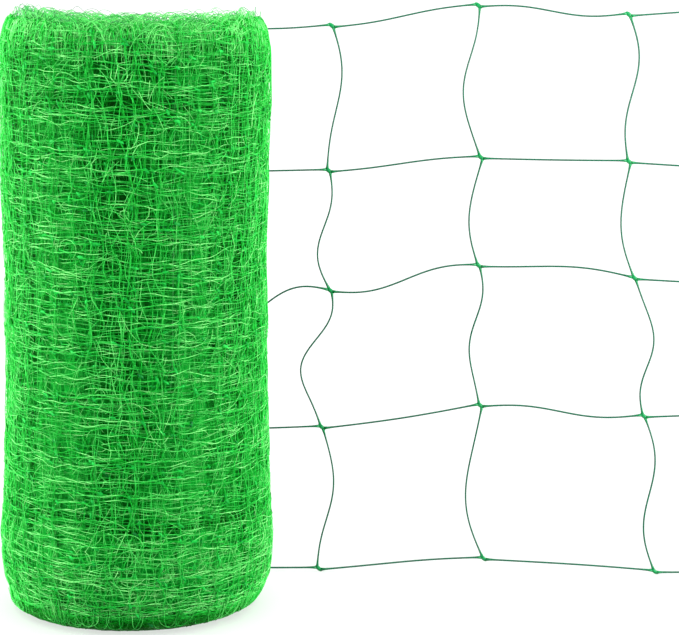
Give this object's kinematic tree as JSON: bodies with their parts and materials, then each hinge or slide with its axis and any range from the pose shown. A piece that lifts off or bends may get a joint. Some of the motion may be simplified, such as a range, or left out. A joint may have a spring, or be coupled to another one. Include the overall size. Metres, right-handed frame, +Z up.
{
  "type": "roll of trellis netting",
  "caption": "Wound roll of green plastic plant-support net standing on its end, with a loose stretch of the open square mesh leading off its back.",
  "frame": {"origin": "centre of the flat foot that the roll stands on, on the axis of the winding", "axes": "+Z up along the axis of the winding, +X the way the loose end leads away, +Y towards the side of the roll that it leaves"},
  "size_m": [0.7773, 0.2773, 0.6245],
  "materials": {
    "wound_net": "wound layers of fine translucent green plastic net, satin strands over a dark green depth",
    "net_strand": "satin drawn plastic strand, thicker and flatter at its knots"
  },
  "bodies": {
    "root": {"net_roll": "wound_net", "loose_end": "net_strand"}
  },
  "joints": []
}
